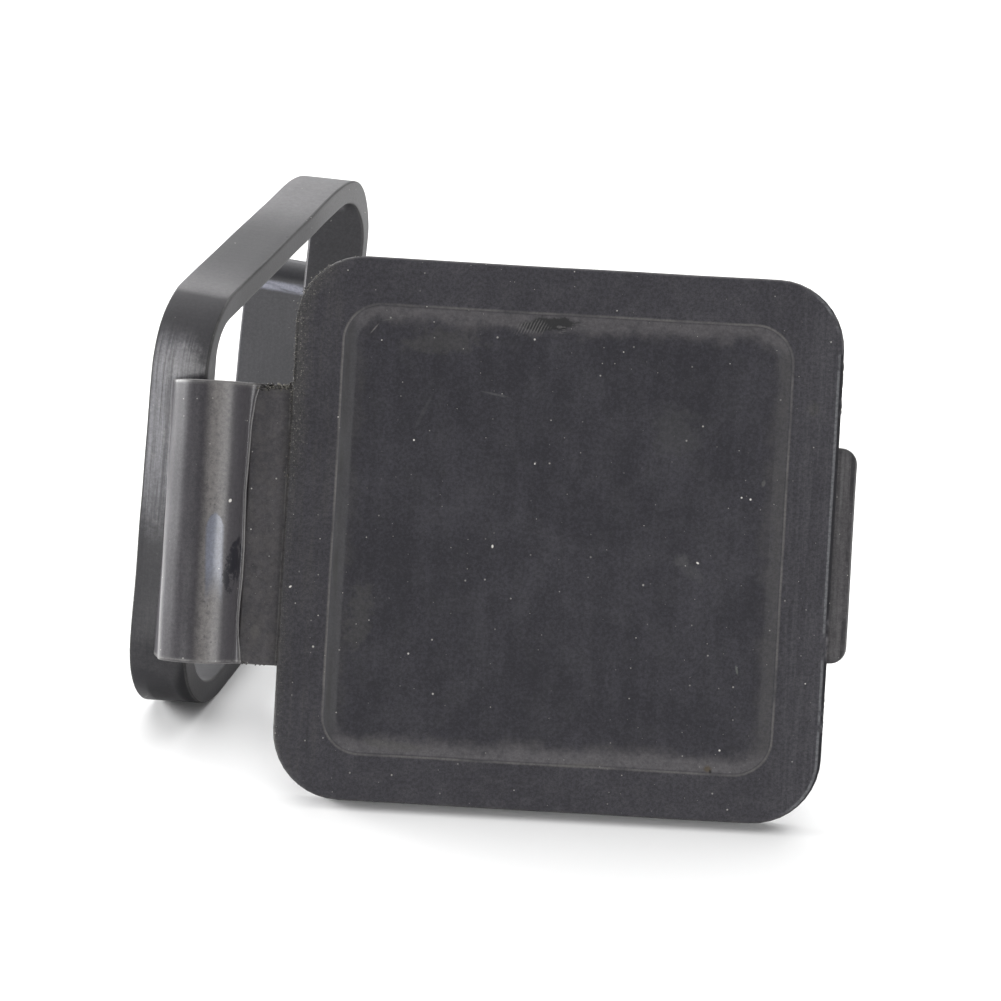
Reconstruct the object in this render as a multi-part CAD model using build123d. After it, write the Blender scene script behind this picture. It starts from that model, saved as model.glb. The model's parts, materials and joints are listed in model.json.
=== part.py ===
from build123d import *
import math
import os

# Hitch receiver cover, moulded in one piece of soft rubber.
# Millimetres. The origin is the middle of the band's opening, which goes round the receiver tube.
# +X runs along the tube, from the band's back edge to its front edge. +Y runs from the hinge side to the far side.
# The cover stands open on the underside of its band and on the lower edge of its lid, as a soft piece does:
# the band racks a little under its own weight and the lid leans back.

# Band that is pulled over the receiver tube
BAND_SIDE = 71.75          # height of the hinge-side wall, along its lean
BAND_LENGTH = 77.65        # lower wall, between the lines of the two upright walls
BAND_WALL = 3.9            # thickness of the hinge-side wall
BAND_FLOOR = 4.0           # thickness of the upper and lower walls
BAND_WIDTH = 9.4           # along the tube
NEAR_FOOT = 45.7           # hinge-side wall's foot, from the middle of the opening
NEAR_LEAN = 11.5           # lean of the hinge-side wall, degrees
FAR_LEAN = 13.5            # lean of the far wall, degrees
FAR_WALL_FRONT = 3.0       # thickness of the far wall at its front and back rims
FAR_WALL_BACK = 3.8
FAR_SPLAY = 2.0            # the far wall's back rim stands this much nearer than its front rim
CORNER_OPEN = 12.6         # outside radius at the upper near and lower far corners
CORNER_LOW_BACK = 14.0     # outside radius at the lower near corner, at the back rim and the front rim
CORNER_LOW_FRONT = 16.5
INSIDE_OPEN = 5.6          # inside radii at the same corners
INSIDE_LOW = 12.0
BAND_EDGE = 0.5            # rounding of the band's rims

# The upper far corner sags. Each point is set in from the far wall's line and down from the top.
SAG_OUTSIDE = [(0, 14.9), (1.4, 10.55), (4.35, 6.15), (8.3, 3.0), (14.6, 0.85), (23.8, 0)]
SAG_INSIDE = [(0, 11.65), (0.8, 8.55), (3.4, 5.25), (8.25, 1.75), (18.8, 0)]

# Lid
LID_WIDTH = 85.8
LID_HEIGHT = 85.1
LID_THICK = 4.0
LID_CORNER = 10.7
LID_DRAFT = 0.5            # the sides widen towards the back, degrees
LID_EDGE = 0.5             # rounding of the front rim
LID_BACK_EDGE = 0.3        # chamfer of the back rim
LID_TURN = 15.1            # the lid's width is turned from the tube's direction, degrees
LID_LEAN = 26.4            # the lid leans back from upright, degrees
LID_AHEAD = 60.9           # middle of the lid's face, in front of the band's middle
LID_ASIDE = 26.5           # and to the hinge side of it

# Sunken panel on the lid's face
PANEL_SIDE = 70.4
PANEL_SHIFT = -0.15        # the panel sits a little towards the hinge
PANEL_CORNER = 6.0
PANEL_DEPTH = 0.9
PANEL_SHOULDER = 2.1       # width of its sloping border

# Finger tab on the lid's free edge
TAB_LENGTH = 33.9
TAB_REACH = 3.1
TAB_THICK = 2.1
TAB_SETBACK = 1.3          # behind the lid's face
TAB_CORNER = 2.6
TAB_EDGE = 0.35

# Pad and flap on the hinge edge of the lid
HINGE_LENGTH = 43.9
HINGE_SHIFT = -0.25        # its middle, above the lid's middle
PAD_REACH = 6.3            # beyond the lid's edge
PAD_SETBACK = 0.8
PAD_THICK = 2.3
PAD_CORNER = 1.8
PAD_SHORT = 0.5            # the pad stops short of the web's upper rim
PAD_EDGE = 0.2

# Arched web that does the work of a hinge
WEB_THICK = 1.3
WEB_RADIUS = 6.05          # outside of the arch
WEB_CENTRE_DEPTH = -1.0    # middle of the arch, in front of the lid's face
WEB_GAP = 0.35             # groove between the arch and the pad
WEB_ROOT = 0.57            # where the web leaves the band, as a share of its width from the front
WEB_SINK = 1.8             # the web runs on into the band's wall

# Pull tongue on the far wall of the band
TONGUE_LENGTH = 29.4       # along the wall
TONGUE_REACH = 12.0        # behind the band
TONGUE_THICK = 4.6
TONGUE_OVERLAP = 6.2       # on the band's wall
TONGUE_SINK = 1.1          # its tube side is set into the wall's outer face
TONGUE_END_ROUND = 3.4     # upper and lower ends, on the side of the tube
TONGUE_TIP_ROUND = 0.9
TONGUE_CORNER = 3.0

# Hollow plug on the lid's back, which holds it in the tube's mouth
PLUG_SIDE = 49.6
PLUG_WALL = 2.6
PLUG_DEPTH = 8.0
PLUG_CORNER = 5.0
PLUG_DRAFT = 2.0
PLUG_EDGE = 0.6            # chamfer of its end

near_tan = math.tan(math.radians(NEAR_LEAN))
far_tan = math.tan(math.radians(FAR_LEAN))
half_height = BAND_SIDE * math.cos(math.radians(NEAR_LEAN)) / 2
near_foot = -NEAR_FOOT
far_foot = near_foot + BAND_LENGTH


def near_face(z, depth=0.0):
    """The hinge-side wall at a height above the middle, some way inside its outer face."""
    return near_foot + (z + half_height) * near_tan + depth / math.cos(math.radians(NEAR_LEAN))


def far_face(z, depth=0.0):
    """The far wall at a height above the middle, some way inside its outer face."""
    return far_foot + (z + half_height) * far_tan - depth / math.cos(math.radians(FAR_LEAN))


def rounded(before, here, after, radius):
    """Start, crown and end of the arc that rounds a corner."""
    before, here, after = Vector(*before), Vector(*here), Vector(*after)
    back = (before - here).normalized()
    on = (after - here).normalized()
    angle = math.radians(back.get_angle(on))
    reach = radius / math.tan(angle / 2)
    middle = here + (back + on).normalized() * (radius / math.sin(angle / 2))
    crown = middle - (back + on).normalized() * radius
    return here + back * reach, crown, here + on * reach


def band_outline(near_depth, far_depth, end_depth, radii, sag, splay):
    """Outline of the band in its own plane, from the lower near corner round to the upper near one."""
    low = -half_height + end_depth
    high = half_height - end_depth
    near_low = (near_face(low, near_depth), low)
    near_high = (near_face(high, near_depth), high)
    far_low = (far_face(low, far_depth) - splay, low)
    far_high = (far_face(high, far_depth) - splay, high)
    first = rounded(near_high, near_low, far_low, radii[0])
    second = rounded(near_low, far_low, far_high, radii[1])
    last = rounded(far_high, near_high, near_low, radii[2])
    points = []
    for inset, drop in sag:
        share = 1 - inset / sag[-1][0]
        points.append((far_face(high - drop, far_depth) - inset - splay * share, high - drop))
    curve = Spline(*points, tangents=[(far_tan, 1), (-1, 0)], tangent_scalars=[0.5, 0.5])
    edges = [
        ThreePointArc(*first),
        Line(first[2], second[0]),
        ThreePointArc(*second),
        Line(second[2], curve @ 0),
        curve,
        Line(curve @ 1, last[0]),
        ThreePointArc(*last),
        Line(last[2], first[0]),
    ]
    return Wire(edges)


def band():
    """The strap, lofted from its back outline to its front one, its rims rounded."""
    back = Plane(origin=(-BAND_WIDTH / 2, 0, 0), x_dir=(0, 1, 0), z_dir=(1, 0, 0))
    front = Plane(origin=(BAND_WIDTH / 2, 0, 0), x_dir=(0, 1, 0), z_dir=(1, 0, 0))
    outside = [CORNER_LOW_BACK, CORNER_OPEN, CORNER_OPEN]
    inside = [INSIDE_LOW, INSIDE_OPEN, INSIDE_OPEN]
    outer = Solid.make_loft([
        back * band_outline(0, 0, 0, outside, SAG_OUTSIDE, FAR_SPLAY),
        front * band_outline(0, 0, 0, [CORNER_LOW_FRONT] + outside[1:], SAG_OUTSIDE, 0),
    ], ruled=True)
    hole = Solid.make_loft([
        back * band_outline(BAND_WALL, FAR_WALL_BACK, BAND_FLOOR, inside, SAG_INSIDE, FAR_SPLAY),
        front * band_outline(BAND_WALL, FAR_WALL_FRONT, BAND_FLOOR, inside, SAG_INSIDE, 0),
    ], ruled=True)
    solid = outer - hole
    rims = solid.faces().sort_by(Axis.X)
    return fillet(rims[0].edges() + rims[-1].edges(), BAND_EDGE)


def lid_plane():
    """The lid's face: middle of the square, X to the free edge, Y up the lid, Z out of the face."""
    turn = math.radians(LID_TURN)
    lean = math.radians(LID_LEAN)
    right = Vector(math.cos(turn), math.sin(turn), 0)
    out = Vector(math.sin(turn) * math.cos(lean), -math.cos(turn) * math.cos(lean), math.sin(lean))
    foot = LID_HEIGHT / 2 + LID_THICK * math.tan(math.radians(LID_DRAFT)) - LID_BACK_EDGE * math.tan(lean)
    height = -half_height + foot * math.cos(lean) + LID_THICK * math.sin(lean)
    return Plane(origin=(LID_AHEAD, -LID_ASIDE, height), x_dir=right, z_dir=out)


def lid(face):
    """Plate, sunken panel, finger tab and pad, in the lid's own frame."""
    plate = extrude(RectangleRounded(LID_WIDTH, LID_HEIGHT, LID_CORNER), -LID_THICK, taper=-LID_DRAFT)
    ends = plate.faces().sort_by(Axis.Z)
    plate = fillet(ends[-1].edges(), LID_EDGE)
    ends = plate.faces().sort_by(Axis.Z)
    plate = chamfer(ends[0].edges(), LID_BACK_EDGE)
    floor_side = PANEL_SIDE - 2 * PANEL_SHOULDER
    sunk = loft([
        Pos(PANEL_SHIFT, 0, 0) * RectangleRounded(PANEL_SIDE, PANEL_SIDE, PANEL_CORNER),
        Pos(PANEL_SHIFT, 0, -PANEL_DEPTH) * RectangleRounded(floor_side, floor_side, PANEL_CORNER - PANEL_SHOULDER),
    ])
    plate = plate - sunk
    tab_width = TAB_REACH + 3.0
    tab = Pos(LID_WIDTH / 2 + TAB_REACH - tab_width / 2, 0, -TAB_SETBACK - TAB_THICK) * extrude(
        Rectangle(tab_width, TAB_LENGTH), TAB_THICK)
    tab = fillet(tab.edges().filter_by(Axis.Z).group_by(Axis.X)[-1], TAB_CORNER)
    tab = fillet(tab.faces().sort_by(Axis.Z)[-1].edges().filter_by(lambda e: e.center().X > LID_WIDTH / 2), TAB_EDGE)
    pad_width = PAD_REACH + 3.0
    pad_middle = (-LID_WIDTH / 2 - PAD_REACH + pad_width / 2, HINGE_SHIFT - PAD_SHORT / 2, -PAD_SETBACK - PAD_THICK)
    pad = Pos(*pad_middle) * extrude(Rectangle(pad_width, HINGE_LENGTH - PAD_SHORT), PAD_THICK)
    pad = fillet(pad.edges().filter_by(Axis.Z).group_by(Axis.X)[0], PAD_CORNER)
    pad = fillet(pad.faces().sort_by(Axis.Z)[-1].edges().filter_by(lambda e: e.center().X < -LID_WIDTH / 2), PAD_EDGE)
    return face * (plate + tab + pad)


def plug(face):
    """Square collar on the lid's back."""
    outer = extrude(RectangleRounded(PLUG_SIDE, PLUG_SIDE, PLUG_CORNER), -PLUG_DEPTH - 0.5, taper=PLUG_DRAFT)
    outer = chamfer(outer.faces().sort_by(Axis.Z)[0].edges(), PLUG_EDGE)
    hole_side = PLUG_SIDE - 2 * PLUG_WALL
    hole = Pos(0, 0, -0.5) * extrude(RectangleRounded(hole_side, hole_side, PLUG_CORNER - PLUG_WALL), -PLUG_DEPTH - 1)
    return face * (Pos(0, 0, -LID_THICK + 0.5) * (outer - hole))


def web_section(face, height, wall_x, wall_depth):
    """The web cut square to the hinge at one height: flap under the pad, arch, and leg into the band."""
    right = -LID_WIDTH / 2 - PAD_REACH - WEB_GAP
    middle = right - WEB_RADIUS
    deep = WEB_CENTRE_DEPTH
    inner = WEB_RADIUS - WEB_THICK
    flap = deep - 0.55
    sunk = min(wall_depth - WEB_SINK, deep - 1.0)

    def at(x, z):
        return face.from_local_coords(Vector(x, height, z))

    end_x = middle + math.sqrt(WEB_RADIUS ** 2 - 0.55 ** 2)
    root_shift = wall_x - (middle - WEB_RADIUS)
    path = [
        Line(at(middle - WEB_RADIUS + root_shift, sunk), at(middle - WEB_RADIUS, deep)),
        ThreePointArc(at(middle - WEB_RADIUS, deep), at(middle, deep + WEB_RADIUS), at(end_x, flap)),
        Line(at(end_x, flap), at(-LID_WIDTH / 2 + 1.5, flap)),
        Line(at(-LID_WIDTH / 2 + 1.5, flap), at(-LID_WIDTH / 2 + 1.5, flap - WEB_THICK)),
        Line(at(-LID_WIDTH / 2 + 1.5, flap - WEB_THICK), at(middle + inner, flap - WEB_THICK)),
        Line(at(middle + inner, flap - WEB_THICK), at(middle + inner, deep)),
        ThreePointArc(at(middle + inner, deep), at(middle, deep + inner), at(middle - inner, deep)),
        Line(at(middle - inner, deep), at(middle - inner + root_shift, sunk)),
        Line(at(middle - inner + root_shift, sunk), at(middle - WEB_RADIUS + root_shift, sunk)),
    ]
    return Face(Wire(path))


def web(face):
    """Loft between the two ends of the hinge; the leg grows longer as the band falls away from the lid."""
    root_x = BAND_WIDTH / 2 - WEB_ROOT * BAND_WIDTH
    sections = []
    for height in (HINGE_SHIFT - HINGE_LENGTH / 2, HINGE_SHIFT + HINGE_LENGTH / 2):
        low, high = -half_height, half_height
        for _ in range(60):
            z = (low + high) / 2
            local = face.to_local_coords(Vector(root_x, near_face(z), z))
            if local.Y < height:
                low = z
            else:
                high = z
        sections.append(web_section(face, height, local.X, local.Z))
    return Solid.make_loft([section.outer_wire() for section in sections], ruled=True)


def tongue():
    """Plate on the outside of the far wall, standing out behind the band."""
    lean = math.radians(FAR_LEAN)
    out = Vector(0, math.cos(lean), -math.sin(lean))
    width = TONGUE_REACH + TONGUE_OVERLAP
    middle_x = -BAND_WIDTH / 2 - TONGUE_REACH + width / 2
    seat = Vector(middle_x, far_face(0) - FAR_SPLAY, 0) - out * TONGUE_SINK
    half = TONGUE_LENGTH / 2
    side = Plane(origin=(-width / 2, 0, 0), x_dir=(0, 1, 0), z_dir=(1, 0, 0))
    profile = fillet((Pos(0, TONGUE_THICK / 2) * Rectangle(TONGUE_LENGTH, TONGUE_THICK)).vertices().group_by(Axis.Y)[0],
                     TONGUE_END_ROUND)
    bar = extrude(side * profile, width)
    plan = extrude(Pos(TONGUE_CORNER, 0, 0) * RectangleRounded(width + 2 * TONGUE_CORNER, 2 * half, TONGUE_CORNER),
                   TONGUE_THICK)
    solid = bar & plan
    tip = solid.edges().filter_by(Axis.Y).group_by(Axis.X)[0].sort_by(Axis.Z)[0]
    solid = fillet(tip, TONGUE_TIP_ROUND)
    return Plane(origin=seat, x_dir=(1, 0, 0), z_dir=out) * solid


def whole():
    face = lid_plane()
    return band() + lid(face) + plug(face) + web(face) + tongue()


cover = whole()
solids = cover.solids()
print("lid middle", lid_plane().origin)
print("solids", len(solids), "volume", round(cover.volume / 1000, 2), "cm3", "valid", cover.is_valid)
box = cover.bounding_box()
print("box", box.min, box.max)
os.makedirs("parts", exist_ok=True)
export_step(solids[0] if len(solids) == 1 else cover, "parts/hitch_cover.step")
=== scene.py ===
# %% [markdown]
# # Hitch receiver cover
# A soft rubber cover for a square tow-hitch tube. A band goes round the tube, an arched web works as a hinge,
# and a square lid closes the tube's mouth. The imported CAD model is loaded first: it fixes the size and the
# place of every feature, and the finer skin made below has to stay inside its box.

# %% Load the frame
import bpy
import json
import math
import numpy as np
from mathutils import Matrix, Vector, noise
from random import Random

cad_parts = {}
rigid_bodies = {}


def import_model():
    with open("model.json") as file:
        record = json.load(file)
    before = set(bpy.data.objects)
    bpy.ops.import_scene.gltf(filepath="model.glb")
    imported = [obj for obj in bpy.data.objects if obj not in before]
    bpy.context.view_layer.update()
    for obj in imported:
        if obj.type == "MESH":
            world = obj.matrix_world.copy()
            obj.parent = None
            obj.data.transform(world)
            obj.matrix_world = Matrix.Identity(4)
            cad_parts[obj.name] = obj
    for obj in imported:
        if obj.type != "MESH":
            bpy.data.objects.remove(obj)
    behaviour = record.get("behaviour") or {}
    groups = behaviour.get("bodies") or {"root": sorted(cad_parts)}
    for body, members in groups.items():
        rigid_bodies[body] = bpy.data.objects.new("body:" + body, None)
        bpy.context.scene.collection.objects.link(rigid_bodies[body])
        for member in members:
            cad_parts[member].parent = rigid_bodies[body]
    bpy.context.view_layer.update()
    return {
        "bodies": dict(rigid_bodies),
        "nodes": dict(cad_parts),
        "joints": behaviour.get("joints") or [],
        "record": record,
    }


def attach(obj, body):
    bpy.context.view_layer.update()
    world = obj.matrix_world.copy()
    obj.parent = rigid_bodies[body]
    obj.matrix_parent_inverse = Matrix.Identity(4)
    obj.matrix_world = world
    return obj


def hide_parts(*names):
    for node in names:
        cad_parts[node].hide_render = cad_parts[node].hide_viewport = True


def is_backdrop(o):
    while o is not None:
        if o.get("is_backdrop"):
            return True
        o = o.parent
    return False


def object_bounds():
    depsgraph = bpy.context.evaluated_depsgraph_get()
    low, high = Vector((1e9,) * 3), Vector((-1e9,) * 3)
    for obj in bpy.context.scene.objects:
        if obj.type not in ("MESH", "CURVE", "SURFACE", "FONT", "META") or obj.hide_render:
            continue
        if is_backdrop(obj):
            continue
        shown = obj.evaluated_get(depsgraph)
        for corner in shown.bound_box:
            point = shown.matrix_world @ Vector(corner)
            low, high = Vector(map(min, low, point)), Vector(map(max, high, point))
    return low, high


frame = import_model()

# %% [markdown]
# ## Units and two frames
# The cover is drawn in millimetres and scaled to Blender's metres when a mesh is made. The band is drawn in
# the object's own frame. The lid, its hinge pad, its finger tab and the arched web all share the lid's frame:
# X runs to the lid's free edge, Y up the lid and Z out of its face, because the soft web lets the lid turn
# and lean as it stands.

# %% Frames
MM = 0.001
FLOOR = -35.155
LID_MIDDLE = Vector((60.9, -26.5, 4.634))
LID_TURN = math.radians(15.1)
LID_LEAN = math.radians(26.4)

lid_right = Vector((math.cos(LID_TURN), math.sin(LID_TURN), 0))
lid_out = Vector((math.sin(LID_TURN) * math.cos(LID_LEAN), -math.cos(LID_TURN) * math.cos(LID_LEAN),
                  math.sin(LID_LEAN)))
lid_up = lid_out.cross(lid_right)


def frame_at(middle, x, y, z):
    """A frame from its middle in millimetres and its three axes."""
    return Matrix.Translation(middle * MM) @ Matrix((x, y, z)).transposed().to_4x4()


LID_FRAME = frame_at(LID_MIDDLE, lid_right, lid_up, lid_out)
BAND_FRAME = Matrix.Identity(4)
print("lid normal:", [round(v, 3) for v in lid_out])

# %% [markdown]
# ## A skin over a stack of rings
# Every part of this moulding can be described as a row of closed rings with the same number of points: sections
# round the strap, or outlines that shrink and sink across the lid's face. A subdivision surface over a few
# blocks is the usual other way, but it pulls the tight 0.5 mm rims round. Rings put points exactly where the
# rims are. Each point also keeps two things for the materials: its place in its own frame in millimetres, so
# that a mark can be put where it lies on the lid, and a wear value, 1 on an edge that rubs and 0 on a flat.

# %% Skin helper
def place_in_scene(name, data):
    """An object made of that mesh, light or camera."""
    made = bpy.data.objects.new(name, data)
    bpy.context.scene.collection.objects.link(made)
    return made


def make_piece(name, points, faces, wear, frame):
    """A smooth mesh from points in millimetres, which keeps their place and wear for the materials."""
    mesh = bpy.data.meshes.new(name)
    mesh.from_pydata([(frame @ (p * MM))[:] for p in points], [], faces)
    mesh.attributes.new("wear", "FLOAT", "POINT").data.foreach_set("value", np.array(wear, np.float32))
    place = mesh.attributes.new("place", "FLOAT_VECTOR", "POINT")
    place.data.foreach_set("vector", np.array(points, np.float32).ravel())
    mesh.shade_smooth()
    mesh.update()
    print(name, len(mesh.vertices), "points", len(mesh.polygons), "faces")
    return place_in_scene(name, mesh)


def skin(name, stack, frame, loop=False):
    """A mesh over a stack of (ring, wear) pairs. The ends are closed, or with loop the last ring joins the first.

    A ring is a list of (x, y, z), and wear is one value for the whole ring or a list with one for each point.
    """
    count = len(stack[0][0])
    points = [Vector(p) for ring, _ in stack for p in ring]
    marks = [m for ring, wear in stack for m in (wear if isinstance(wear, list) else [wear] * count)]
    faces = []
    for i in range(len(stack) if loop else len(stack) - 1):
        a, b = i * count, (i + 1) % len(stack) * count
        faces += [(a + j, a + (j + 1) % count, b + (j + 1) % count, b + j) for j in range(count)]
    for end in () if loop else (0, len(stack) - 1):
        first, hub = end * count, len(points)
        points.append(sum(points[first:first + count], Vector()) / count)
        marks.append(0.0)
        for j in range(count):
            spoke = (first + (j + 1) % count, first + j, hub)
            faces.append(spoke if end == 0 else spoke[::-1])
    return make_piece(name, points, faces, marks, frame)


def quarter(steps):
    """(sine, 1 - cosine) pairs through a right angle, for rounding an edge between two rings."""
    return [(math.sin(math.pi / 2 * i / steps), 1 - math.cos(math.pi / 2 * i / steps)) for i in range(steps + 1)]


# %% [markdown]
# ## Uneven rubber
# A moulding that has lived on a tow bar isn't true: its walls wander by a tenth of a millimetre. A little
# smooth noise on the points does this better than a bump in the material, because the outline and the long
# reflections waver too.

# %% Wander helper
def wander(piece, amount, size, seed):
    """Moves every point by smooth noise of that amount and feature size, in millimetres."""
    shift = Vector((seed * 17.3, seed * 5.1, seed * 9.7))
    noise.seed_set(seed)  # without it noise_vector starts from the clock
    for vertex in piece.data.vertices:
        where = vertex.co / (size * MM) + shift
        vertex.co += noise.noise_vector(where) * amount * MM
    piece.data.update()


# %% [markdown]
# ## The band's outline
# Standing on its lower wall, the soft band racks: its hinge-side wall leans back and its upper far corner sags
# into a long curve. The outline is four walls, three round corners and that one sagging corner. The far wall is
# also splayed, so the outline at the back rim differs from the one at the front rim, and a section of the strap
# is drawn between the two.

# %% Band outline
BAND_WIDTH = 9.4
HALF_HEIGHT = -FLOOR
NEAR_FOOT = -45.7
FAR_FOOT = 31.95
NEAR_LEAN = math.radians(11.5)
FAR_LEAN = math.radians(13.5)
FAR_SPLAY = 2.0
SIDE_STEPS = 26
SAG_OUTSIDE = [(0, 14.9), (1.4, 10.55), (4.35, 6.15), (8.3, 3.0), (14.6, 0.85), (23.8, 0)]
SAG_INSIDE = [(0, 11.65), (0.8, 8.55), (3.4, 5.25), (8.25, 1.75), (18.8, 0)]


def near_wall(z, depth):
    """Y of the hinge-side wall at a height, that far in from its outside."""
    return NEAR_FOOT + (z + HALF_HEIGHT) * math.tan(NEAR_LEAN) + depth / math.cos(NEAR_LEAN)


def far_wall(z, depth):
    """Y of the far wall at a height, that far in from its outside."""
    return FAR_FOOT + (z + HALF_HEIGHT) * math.tan(FAR_LEAN) - depth / math.cos(FAR_LEAN)


def arc_points(before, here, after, radius, steps):
    """Points round a corner of that radius."""
    back = (before - here).normalized()
    on = (after - here).normalized()
    angle = back.angle(on)
    middle = here + (back + on).normalized() * (radius / math.sin(angle / 2))
    start = here + back * (radius / math.tan(angle / 2)) - middle
    sweep = math.pi - angle
    turn = 1 if back.x * on.y - back.y * on.x < 0 else -1
    made = []
    for i in range(steps + 1):
        sine, cosine = math.sin(turn * sweep * i / steps), math.cos(turn * sweep * i / steps)
        made.append(middle + Vector((start.x * cosine - start.y * sine, start.x * sine + start.y * cosine)))
    return made


def smooth_curve(points, first, last, steps):
    """A clamped cubic through the points, as a draughtsman's spline lies."""
    gaps = [(b - a).length for a, b in zip(points, points[1:])]
    n = len(points)
    matrix = np.zeros((n, n))
    right = np.zeros((n, 2))
    matrix[0, 0] = matrix[-1, -1] = 1
    right[0], right[-1] = first, last
    for i in range(1, n - 1):
        h0, h1 = gaps[i - 1], gaps[i]
        matrix[i, i - 1], matrix[i, i], matrix[i, i + 1] = h1, 2 * (h0 + h1), h0
        before, after = points[i] - points[i - 1], points[i + 1] - points[i]
        right[i] = 3 * (np.array(before) * h1 / h0 + np.array(after) * h0 / h1)
    slopes = np.linalg.solve(matrix, right)
    total = sum(gaps)
    made = []
    for k in range(steps + 1):
        s = total * k / steps
        i = 0
        while i < n - 2 and s > gaps[i]:
            s -= gaps[i]
            i += 1
        h = gaps[i]
        t = s / h
        p0, p1 = np.array(points[i]), np.array(points[i + 1])
        m0, m1 = slopes[i] * h, slopes[i + 1] * h
        p = (2 * t**3 - 3 * t**2 + 1) * p0 + (t**3 - 2 * t**2 + t) * m0
        made.append(Vector(p + (3 * t**2 - 2 * t**3) * p1 + (t**3 - t**2) * m1))
    return made


def band_loop(near_depth, far_depth, end_depth, radii, sag, splay):
    """The closed outline in (y, z), always with the same number of points."""
    low, high = end_depth - HALF_HEIGHT, HALF_HEIGHT - end_depth
    near_low = Vector((near_wall(low, near_depth), low))
    near_high = Vector((near_wall(high, near_depth), high))
    far_low = Vector((far_wall(low, far_depth) - splay, low))
    far_high = Vector((far_wall(high, far_depth) - splay, high))
    first = arc_points(near_high, near_low, far_low, radii[0], 22)
    second = arc_points(near_low, far_low, far_high, radii[1], 20)
    last = arc_points(far_high, near_high, near_low, radii[2], 20)
    span = sag[-1][0]
    through = [Vector((far_wall(high - d, far_depth) - i - splay * (1 - i / span), high - d)) for i, d in sag]
    lean = np.array((math.sin(FAR_LEAN), math.cos(FAR_LEAN)))
    curve = smooth_curve(through, lean, np.array((-1.0, 0.0)), 34)
    loop = []
    for run, on in ((first, second), (second, curve), (curve, last), (last, first)):
        loop += run + [run[-1].lerp(on[0], i / SIDE_STEPS) for i in range(1, SIDE_STEPS)]
    return loop


outline_back = band_loop(0, 0, 0, (14.0, 12.6, 12.6), SAG_OUTSIDE, FAR_SPLAY)
outline_front = band_loop(0, 0, 0, (16.5, 12.6, 12.6), SAG_OUTSIDE, 0)
inline_back = band_loop(3.9, 3.8, 4.0, (12.0, 5.6, 5.6), SAG_INSIDE, FAR_SPLAY)
inline_front = band_loop(3.9, 3.0, 4.0, (12.0, 5.6, 5.6), SAG_INSIDE, 0)
print("outline points:", len(outline_back), len(inline_front))

# %% [markdown]
# ## The band
# The strap is a rounded bar bent into that outline. At each point of the outline, a small section goes round
# it: out across the width, over the rounded rim, back along the inside and over the other rim. The section is
# laid between the four outlines, so the wall grows thinner and splays just as the soft one does.

# %% Band
RIM = 0.42


def strap_section(outer_back, outer_front, inner_back, inner_front):
    """One ring round the strap, with the wear value of each of its points."""
    ring, marks = [], []
    thick = ((outer_back - inner_back).length + (outer_front - inner_front).length) / 2

    def at(x, depth):
        u = x / BAND_WIDTH + 0.5
        outer = outer_back.lerp(outer_front, u)
        inner = inner_back.lerp(inner_front, u)
        p = outer.lerp(inner, depth / thick)
        return (x, p.x, p.y)

    half = BAND_WIDTH / 2

    def rounded(x, depth, start, i):
        """One of five places round a corner of the section."""
        a = math.radians(start + 90 * i / 4)
        return x + RIM * math.cos(a), depth + RIM * math.sin(a)

    corners = [(half - RIM, RIM, -90), (half - RIM, thick - RIM, 0), (RIM - half, thick - RIM, 90),
               (RIM - half, RIM, 180)]
    for corner, following, steps in zip(corners, corners[1:] + corners[:1], (7, 3, 7, 3)):
        ring += [at(*rounded(*corner, i)) for i in range(5)]
        marks += [0.55, 1.0, 1.0, 1.0, 0.55] + [0.0] * steps
        (ax, az), (bx, bz) = rounded(*corner, 4), rounded(*following, 0)
        for i in range(1, steps + 1):
            t = i / (steps + 1)
            ring.append(at(ax + (bx - ax) * t, az + (bz - az) * t))
    return ring, marks


sections = [strap_section(*four) for four in zip(outline_back, outline_front, inline_back, inline_front)]
band = skin("cover_band", sections, BAND_FRAME, loop=True)
wander(band, 0.09, 9.0, 1)

# %% [markdown]
# ## Rounded squares
# The lid, its sunken panel, the plug on its back, the pad and the tab are all rounded rectangles at different
# depths. One helper makes such a ring, always with the same number of points, so any two can be joined. Points
# are shared out by corner and side, not by angle, so that sides stay straight and corners stay round.

# %% Rounded rectangle ring
def square_ring(width, height, corner, z, wear=0.0, cx=0.0, cy=0.0, side=20, bend=10):
    """A ring at that height and its wear value; side and bend are the steps along a side and round a corner."""
    ring = []
    hx, hy = width / 2, height / 2
    corner = max(min(corner, hx - 1e-4, hy - 1e-4), 1e-3)
    for sx, sy, start in ((1, 1, 0), (-1, 1, 90), (-1, -1, 180), (1, -1, 270)):
        for i in range(bend + 1):
            a = math.radians(start + 90 * i / bend)
            x, y = sx * (hx - corner) + corner * math.cos(a), sy * (hy - corner) + corner * math.sin(a)
            ring.append(Vector((cx + x, cy + y, z)))
        along = Vector((-sx, 0, 0)) if sx == sy else Vector((0, -sy, 0))
        length = 2 * ((hx if sx == sy else hy) - corner)
        last = ring[-1]
        ring += [last + along * (length * i / side) for i in range(1, side)]
    return ring, wear


# %% [markdown]
# ## The lid
# A plate 4 mm thick with a rounded front rim and a panel sunk 0.9 mm behind a sloping shoulder. From the middle
# of the panel outwards, each ring is one step of that profile: floor, foot of the shoulder, its crest, the flat
# border, the rounded rim, the drafted side and the back. The plug on the back is the same profile carried on.

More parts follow.
